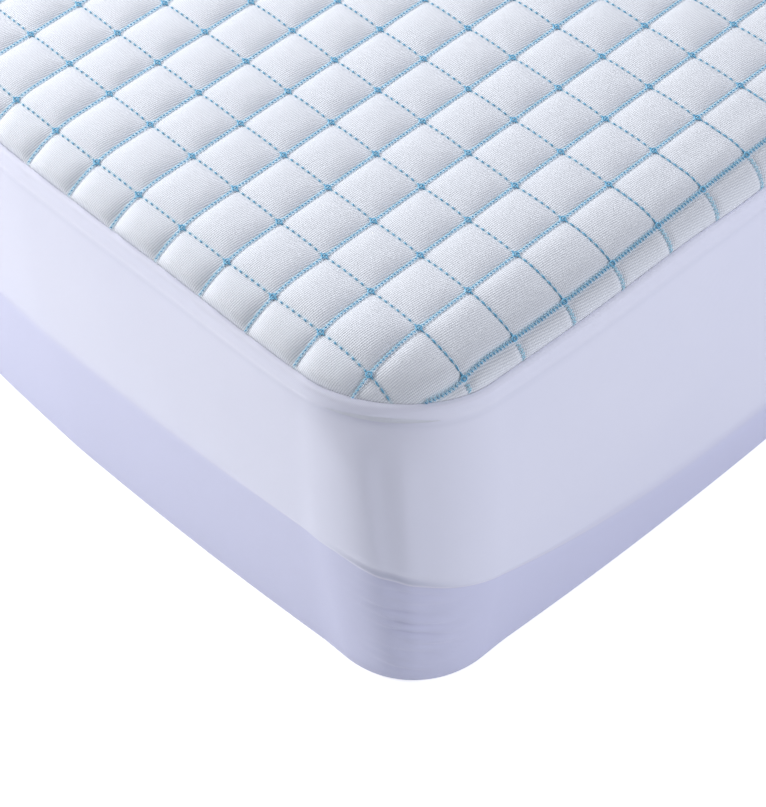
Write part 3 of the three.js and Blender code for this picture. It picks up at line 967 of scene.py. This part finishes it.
def row_end_stitches():
    """Zigzags that end the cross rows, from the outermost long rows down to the seam."""
    cloth = Cloth()
    for row in range(-DASH_ROWS, DASH_ROWS + 1):
        x, y = line_points(row, False, END_PITCH, 0.5 * MM)
        held = np.abs(squares(x, y)[0]) > ROPE_ROWS * CELL + 2.4 * MM
        x, y = x[held], y[held]
        up = rise(x, y)
        step = np.abs(up[:, 2]) * END_PITCH / 2
        turns = [
            on_quilt(x + along * step, y + across * END_HALF, 0.3 * MM)
            for along, across in ZIGZAG
        ]
        add_zigzag(cloth, *turns, up, END_RADIUS, 0.3 * MM)
    cloth.make("row_end_stitching", PALE_THREAD, "quilting_thread")


def crossing_knots():
    """A small ring of thread where two rows cross."""
    cloth = Cloth()
    columns, rows = (np.arange(-count, count + 1) for count in (ROPE_ROWS, DASH_ROWS))
    columns, rows = np.meshgrid(columns, rows, indexing="ij")
    x = row_line(columns, rows * CELL, ROPE_ROWS, False)
    y = row_line(rows, columns * CELL, DASH_ROWS, True)
    held = inside_seam(x, y, 3 * MM)
    x, y = x[held], y[held]
    up = rise(x, y)
    side = unit(np.cross([0.0, 1.0, 0.0], up))
    fore = np.cross(up, side)
    up, side, fore = (a[:, None, None] for a in (up, side, fore))
    turn, tube = full_turn(12)[:, None], full_turn(6)
    around = np.cos(turn) * side + np.sin(turn) * fore
    points = around * (KNOT + KNOT_WIRE * np.cos(tube)) + up * KNOT_WIRE * np.sin(tube)
    ids = cloth.add(on_panel(x, y, KNOT_LIFT)[:, None, None] + points)
    cloth.face(quads(closed(closed(ids, 1), 2)))
    cloth.make("crossing_knots", KNOT_THREAD, "quilting_thread")


# Skirt


def crease_height(stations):
    """The crease is level on the ends and falls from the corners along the long sides."""
    to_side = stations.from_corner * np.where(stations.nearest % 2, -1, 1)
    run = np.maximum(to_side + CREASE_START, 0) / CREASE_REACH
    return mix(CREASE_SIDE, CREASE_END, np.exp(-(run**1.35)))[:, None]


def skirt_line(stations):
    """Inner line of the skirt from the seam to its turn, as insets and heights."""
    q = stations.from_corner[:, None]
    seam = stations.seam[:, None]
    groove_top, tangent = groove(seam, [a[:, None] for a in stations.shape])
    start = np.arctan(tangent)
    angle = mix(start, math.pi / 2, np.linspace(0, 1, TURN_ROWS))
    inset = seam - SEAM_GAP - LIP_RADIUS * (np.sin(angle) - np.sin(start))
    height = groove_top - LIP_RADIUS * (np.cos(start) - np.cos(angle))
    top, foot = height[:, -1:], SKIRT + TURN_RADIUS
    crease = crease_height(stations)
    near = smooth(1 - (np.abs(q) - 40 * MM) / (230 * MM))
    half_step = mix(CREASE_STEP_SIDE, CREASE_STEP_CORNER, near)
    over, under = crease + CREASE_ZONE, crease - CREASE_ZONE
    spans = ((top, over, 1.6), (over, under, 1), (under, foot, 1))
    wall = np.concatenate(
        [
            mix(a, b, np.linspace(0, 1, rows)[1:] ** power)
            for (a, b, power), rows in zip(spans, SKIRT_ROWS)
        ],
        1,
    )
    down = np.clip((top - wall) / (top - crease), 0, 1)
    bow = LOWER_BOW * stations.slack[:, None]
    belly = (BELLY + bow) * (1 - (1 - down) ** 2.3)
    above = wall - crease
    step = smooth((above + half_step) / (2 * half_step))
    tuck = CREASE_DEPTH * mix(0.8, 1.0, near)
    out = mix(np.maximum(belly - tuck, FOOT_BELLY + bow), belly, step)
    out = out - inset[:, -1:] * (1 - down) ** 3
    out = out + near * CREASE_RIDGE * bump(above + 2 * MM, 3 * MM)
    out = out - CORNER_TUCK * bump(q + 11 * MM, 38 * MM) * bump(above - 9 * MM, 7 * MM)
    turn = np.linspace(0, math.pi / 2, TURN_ROWS)[1:]
    turn_inset = TURN_RADIUS * (1 - np.cos(turn)) - out[:, -1:]
    turn_height = SKIRT + TURN_RADIUS * (1 - np.sin(turn)) + 0 * q
    insets = np.concatenate([inset, -out, turn_inset], 1)
    return insets, np.concatenate([height, wall, turn_height], 1)


def folds(stations, insets, heights):
    """How far the skirt's cloth stands out of its plain line."""
    below = running(np.hypot(np.diff(insets, axis=1), np.diff(heights, axis=1)))
    q = stations.from_corner[:, None]
    s = stations.along[:-1, None]
    kind = stations.nearest[:, None]
    wall = smooth(below / (30 * MM)) * smooth((heights - 4 * MM) / (40 * MM))
    end = mix(ALLOWANCE_WIDTH, CORNER_ALLOWANCE_WIDTH, bump(q, 60 * MM))
    proud = ALLOWANCE * smooth(below / (5 * MM)) * smooth((end - below) / (9 * MM))
    for depth, at, reach, low, spread in np.array(DENTS) * MM:
        proud = proud - depth * bump(q - at, reach) * bump(below - end - low, spread)
    slow = SLOW_WAVE * np.sin(s * 11 + 2.0 * np.sin(s * 4.1 + kind)) * np.sin(heights * 9 + s * 3)
    ridge = q - RIDGE_AT - (0.3 - heights) * RIDGE_LEAN
    drape = smooth((below - 30 * MM) / (60 * MM)) * (
        CORNER_WAVE * bump(q, 90 * MM) * np.sin(q * 62 + heights * 7 + kind)
        + RIDGE * bump(ridge, mix(*RIDGE_REACH, ridge > 0))
        + SECOND_RIDGE * bump(q + 1 * MM, 11 * MM)
    )
    crease = crease_height(stations)
    low = bump(q - 2 * MM, 32 * MM) * smooth((crease - heights - 6 * MM) / (16 * MM))
    uneven = 1.4 + 0.9 * np.sin(heights * 90 + q * 55)
    fine = np.sin(heights * 470 + 4 * np.sin(q * 28 + kind) + q * 40)
    broad = np.sin(heights * 220 - q * 60 + 2 * np.sin(q * 45))
    rumple = RUMPLE * low * (uneven * fine + broad)
    return proud + wall * (slow + drape) + rumple * smooth(heights / (60 * MM))


def section_normal(insets, heights):
    """Outward direction of the section, as changes of inset and height."""
    di, dz = np.gradient(insets, axis=1), np.gradient(heights, axis=1)
    size = np.maximum(np.hypot(di, dz), 1e-12)
    return dz / size, -di / size


def skirt_places(stations, insets, heights):
    """Places on the wall. Below the crease its corners tighten towards the foot."""
    top = crease_height(stations) + 14 * MM
    tightness = smooth((top - heights) / (top - SKIRT - TURN_RADIUS) * 0.8) / smooth(0.8)
    tightness = np.clip(tightness, 0, 1)[..., None]
    points = mix(stations.point[:, None], stations.foot[:, None], tightness)
    points = points - insets[..., None] * stations.normal[:, None]
    return np.concatenate([points, heights[..., None]], -1)


def skirt():
    stations = Round(*SKIRT_STEPS)
    insets, heights = skirt_line(stations)
    out_i, out_h = section_normal(insets, heights)
    proud = folds(stations, insets, heights)
    held = np.clip(np.arange(insets.shape[1])[None] / 3, 0, 1)
    thick = SKIRT * mix(CUT_EDGE, 1, held)
    sides = []
    for extra in (0 * thick, thick):
        stand = proud * mix(held, 1, extra > 0) + extra
        h = np.maximum(heights + out_h * stand, SKIRT - extra)
        h[:, -1] = SKIRT - np.minimum(extra[:, -1], SKIRT)
        places = skirt_places(stations, insets + out_i * stand, h)
        last = stations.under([TURN_RADIUS + TURN_UNDER])
        last = np.concatenate([last, h[:, -1:, None]], 2)
        sides.append(np.concatenate([places, last], 1))
    section = np.concatenate([sides[0], sides[1][:, ::-1]], 1)
    piece = sweep("skirt", SKIRT_FINISH, "skirt_jersey", stations, section)
    q = stations.from_corner[:, None]
    height = section[..., 2]
    above = height - crease_height(stations)
    below = height[:, :1] - height
    spread = mix(20 * MM, 4 * MM, bump(q, 150 * MM))
    by_lip = bump(q + 30 * MM, 36 * MM)
    # Painted shade mask: a line above the crease by each corner, a band under the seam's lip by
    # the corner, and a faint line under the lip elsewhere
    fold_shade = bump(q + 11 * MM, 36 * MM) * bump(above - 4 * MM, 4 * MM)
    fold_shade = fold_shade + 0.6 * by_lip * bump(below - 19 * MM, 7 * MM)
    fold_shade = fold_shade + 0.2 * (1 - by_lip) * bump(below - 25 * MM, 3.5 * MM)
    # Painted shade mask: one below the crease, with a softer edge along the sides than by the
    # corners
    add_values(piece, "lower_band_shade", smooth(0.5 - above / (2 * spread)))
    # Painted highlight mask: a thin line just under the crease, fading away from the corners
    add_values(piece, "crease", bump(q, 260 * MM) * bump(above + 2 * MM, 2.6 * MM))
    add_values(piece, "fold_shade", fold_shade)
    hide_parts("skirt_knit")
    return piece


def sweep(name, material, slot, stations, points):
    """A closed section, given as points of each station, swept round the stations."""
    cloth = Cloth()
    runs = np.linalg.norm(np.diff(closed(points, 1), axis=1), axis=2).mean(0)
    uv = np.stack(np.meshgrid(stations.along, running(runs), indexing="ij"), -1)
    cloth.loop_grid(closed(cloth.add(points), 1), uv)
    return cloth.make(name, material, slot)


def inset_at(insets, heights, level):
    """Inset of the skirt's inner line at heights of each station."""
    wall = slice(-TURN_ROWS)
    return np.array([np.interp(-z, -h[wall], i[wall]) for i, h, z in zip(insets, heights, level)])


def binding():
    stations = Round(*TAPE_STEPS)
    insets, heights = skirt_line(stations)
    top = groove_height(stations.seam, stations.shape) - MEMBRANE_DEPTH - MEMBRANE - BINDING_DROP
    foot = top - BINDING_HEIGHT
    outer_top, outer_foot = (inset_at(insets, heights, z) + SEAM_GAP for z in (top, foot))
    middle, mid_height, rim = mix(outer_top, outer_foot, 0.5), mix(top, foot, 0.5), 0.4 * MM
    ring = [
        (outer_top, top - rim),
        (outer_top + 0.5 * BINDING, top),
        (outer_top + BINDING, top - rim),
        (middle + 0.85 * BINDING, mid_height),
        (outer_foot + BINDING, foot + rim),
        (outer_foot + 0.5 * BINDING, foot),
        (outer_foot, foot + rim),
        (middle, mid_height),
    ]
    places = skirt_places(stations, *np.array(ring).transpose(1, 2, 0))
    piece = sweep("seam_allowance_tape", TAPE_FINISH, "seam_tape", stations, places)
    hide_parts("seam_binding")
    return piece


def closing_seam():
    """The skirt's two ends, turned in and sewn together, inside the head end."""
    stations = Round(2, 2, 2)
    insets, heights = skirt_line(stations)
    middle = [int(np.argmin(np.abs(stations.point[:, 0]) - stations.point[:, 1]))]
    top, foot = QUILT_HEIGHT - SHOULDER_RADIUS - 14 * MM, SKIRT + TURN_RADIUS
    levels = np.linspace(top, foot, CLOSING_ROWS)[None]
    inner = inset_at(insets[middle], heights[middle], levels)
    out_i, out_h = section_normal(inner, levels)
    across, deep = np.array(CLOSING_SECTION).T * MM
    y = stations.point[middle, 1] - inner.T + out_i.T * deep
    cloth = Cloth()
    ids = cloth.add(np.stack([across + 0 * y, y, levels.T - out_h.T * deep], -1))
    cloth.grid(closed(ids, 1))
    cloth.face(ids[None, 0])
    cloth.face(ids[None, -1, ::-1])
    piece = cloth.make("skirt_closing_allowance", TAPE_FINISH, "seam_tape")
    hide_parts("skirt_closing_seam")
    return piece


# Hem


def hem_places(section, stations):
    """Places of a section of the hem, given as reaches in from the foot and heights,
    with its gathers at the corners."""
    reach, height = np.array(section).T
    share, corner = stations.share[:, None], stations.corner[:, None]
    wave = (1 - np.cos(share * GATHERS * 2 * math.pi)) / 2
    uneven = np.clip(1 + 0.2 * np.sin(share * 19 + corner * 2), 0, 1)
    ramp = np.clip((reach - CASING_START) / (TURN_BACK_END - CASING_START), 0, 1)
    lifted = height + GATHER_HEIGHT * wave * uneven * ramp
    return np.concatenate([stations.under(reach), lifted[..., None]], -1)


def hem_part(name, material, slot, section):
    stations = Round(*HEM_STEPS)
    return sweep(name, material, slot, stations, hem_places(section, stations))


def hem_band():
    top = 2 * BAND_CLOTH + 2 * ELASTIC_GAP + ELASTIC
    inner, rim = HEM_REACH - BAND_CLOTH, 0.4 * MM
    mid, near = mix(BAND_START, CASING_START, 0.5), inner - 5 * MM
    section = [
        (BAND_START, 0),
        *((reach, BAND_CLOTH) for reach in (BAND_START, mid, CASING_START, TURN_BACK_END)),
        (near, BAND_CLOTH),
        (inner, BAND_CLOTH),
        *((reach, top - BAND_CLOTH) for reach in (inner, near, TURN_BACK_END)),
        *((reach, top) for reach in (TURN_BACK_END, near, HEM_REACH - rim)),
        (HEM_REACH, top - 0.5 * MM),
        (HEM_REACH, 0.5 * MM),
        *((reach, 0) for reach in (HEM_REACH - rim, near, TURN_BACK_END, CASING_START, mid)),
    ]
    piece = hem_part("hem_band_and_casing", SKIRT_FINISH, "skirt_jersey", section)
    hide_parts("hem_band")
    return piece


def elastic():
    end, foot, rim = HEM_REACH - BAND_CLOTH - ELASTIC_GAP, BAND_CLOTH + ELASTIC_GAP, 0.3 * MM
    start, top = end - ELASTIC_WIDTH, foot + ELASTIC
    across = (start + rim, mix(start, end, 0.5), end - rim)
    section = [
        *((start, height) for height in (foot + rim, top - rim)),
        *((reach, top) for reach in across),
        *((end, height) for height in (top - rim, foot + rim)),
        *((reach, foot) for reach in across[::-1]),
    ]
    piece = hem_part("elastic_band", ELASTIC_FINISH, "elastic", section)
    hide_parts("hem_elastic")
    return piece


def hem_stitches():
    """Two rows of stitches under the casing's edge."""
    cloth = Cloth()
    stations = Round(*STITCH_STEPS)
    for side in (1, -1):
        places = hem_places([(CASING_START + side * 1.5 * MM, -0.05 * MM)], stations)[:, 0]
        after = np.roll(places, -1, 0)
        low, high = mix(places, after, 0.15), mix(places, after, 0.8)
        low[:, 2] += 0.25 * MM
        high[:, 2] += 0.25 * MM
        add_strands(cloth, low, high, np.array([0.0, 0.0, -1.0]), 0.22 * MM, 0.0)
    return cloth.make("hem_stitching", SEAM_THREAD, "seam_thread")


# Scene


def camera():
    data = bpy.data.cameras.new("camera")
    data.sensor_width = 36.0
    data.lens = FOCAL_PIXELS * data.sensor_width / IMAGE_HEIGHT
    data.clip_start, data.clip_end = 0.05, 60
    bpy.context.scene.camera = put("camera", data, EYE, EYE_AXES)


def seen_white(tree):
    """A mask of the rays of the camera, of gloss and through glass, which see plain white."""
    n = Nodes(tree)
    path = n.new("ShaderNodeLightPath")
    seen = n.math("MAXIMUM", path["Is Camera Ray"], path["Is Glossy Ray"])
    return n, n.math("MAXIMUM", seen, path["Is Transmission Ray"])


def surroundings():
    world = bpy.data.worlds.new("studio")
    world.use_nodes = True
    bpy.context.scene.world = world
    tree = world.node_tree
    tree.nodes.clear()
    n, seen = seen_white(tree)
    strength = n.new("ShaderNodeMapRange", {0: seen, 3: WORLD_LIGHT, 4: 1.0})[0]
    white = n.new("ShaderNodeBackground", {"Color": (0.97, 0.98, 1.0, 1.0), "Strength": strength})
    n.new("ShaderNodeOutputWorld", {"Surface": white[0]})

    mesh = bpy.data.meshes.new("floor")
    corners = [(x * FAR, y * FAR, -0.6 * MM) for x, y in ((-1, -1), (1, -1), (1, 1), (-1, 1))]
    mesh.from_pydata(corners, [], [(0, 1, 2, 3)])
    material = bpy.data.materials.new("floor white")
    material.use_nodes = True
    tree = material.node_tree
    shader = tree.nodes["Principled BSDF"]
    shader.inputs["Base Color"].default_value = (0.86, 0.87, 0.9, 1.0)
    shader.inputs["Roughness"].default_value = 0.9
    n, seen = seen_white(tree)
    glow = n.new("ShaderNodeEmission", {"Strength": n.math("MULTIPLY", seen, FLOOR_GLOW)})
    both = n.new("ShaderNodeAddShader", {0: shader.outputs[0], 1: glow[0]})
    tree.links.new(both[0], tree.nodes["Material Output"].inputs["Surface"])
    mesh.materials.append(material)
    floor = put("floor", mesh)


def lights():
    for name, (place, size, power, colour) in LAMPS.items():
        data = bpy.data.lights.new(name, "AREA")
        data.shape, data.size, data.size_y = "RECTANGLE", size, size
        data.energy, data.color = power, colour
        back = unit(np.subtract(place, LAMP_AIM))
        right = unit(np.cross([0.0, 0.0, 1.0], back))
        put(name, data, place, (right, np.cross(back, right), back))


camera()
surroundings()
lights()
scene = bpy.context.scene
scene.view_settings.view_transform = "Standard"

KNIT_FINISH = quilt_knit()
SKIRT_FINISH = skirt_jersey()
TAPE_FINISH = plain_cloth("seam tape", (206, 209, 224), (222, 225, 236), 0.85, 0.0011, 0.0002)
SCRIM_FINISH = plain_cloth("scrim", (222, 225, 228), (238, 240, 242), 0.9, 0.0016, 0.0002)
ELASTIC_FINISH = plain_cloth(
    "ribbed elastic", (222, 222, 228), (238, 238, 242), 0.7, 0.0013, 0.0005
)
WADDING_FINISH = wadding()
FILM_FINISH = film()
PALE_THREAD = thread("pale blue thread", (142, 202, 228), (186, 224, 240))
# Deep blue of the rope rows' chain: partly the thread's own colour, partly painted shade on the
# rows' shadowed side
DEEP_THREAD_AND_SHADE = thread("deep blue thread", (54, 130, 180), (94, 164, 204))
KNOT_THREAD = thread("bright blue thread", (84, 164, 208), (136, 200, 230))
DASH_THREAD = thread("blue thread", (66, 138, 178), (108, 172, 204))
SEAM_THREAD = thread("white thread", (214, 218, 230), (234, 237, 244))

face = quilted_face()
fill = plain_layer(
    "wadding_layer", WADDING_FINISH, "wadding", "fibre_fill", FILL_DEPTH, FILL, FILL_EDGE
)
backing = plain_layer(
    "backing_scrim", SCRIM_FINISH, "scrim", "quilt_backing", BACKING_DEPTH, BACKING
)
membrane = plain_layer(
    "membrane_sheet", FILM_FINISH, "membrane_film", "waterproof_membrane", MEMBRANE_DEPTH, MEMBRANE
)

rope_stitches()
dash_stitches()
row_end_stitches()
crossing_knots()

tape = binding()
closing = closing_seam()
wall = skirt()
band = hem_band()
elastic_band = elastic()
stitches = hem_stitches()
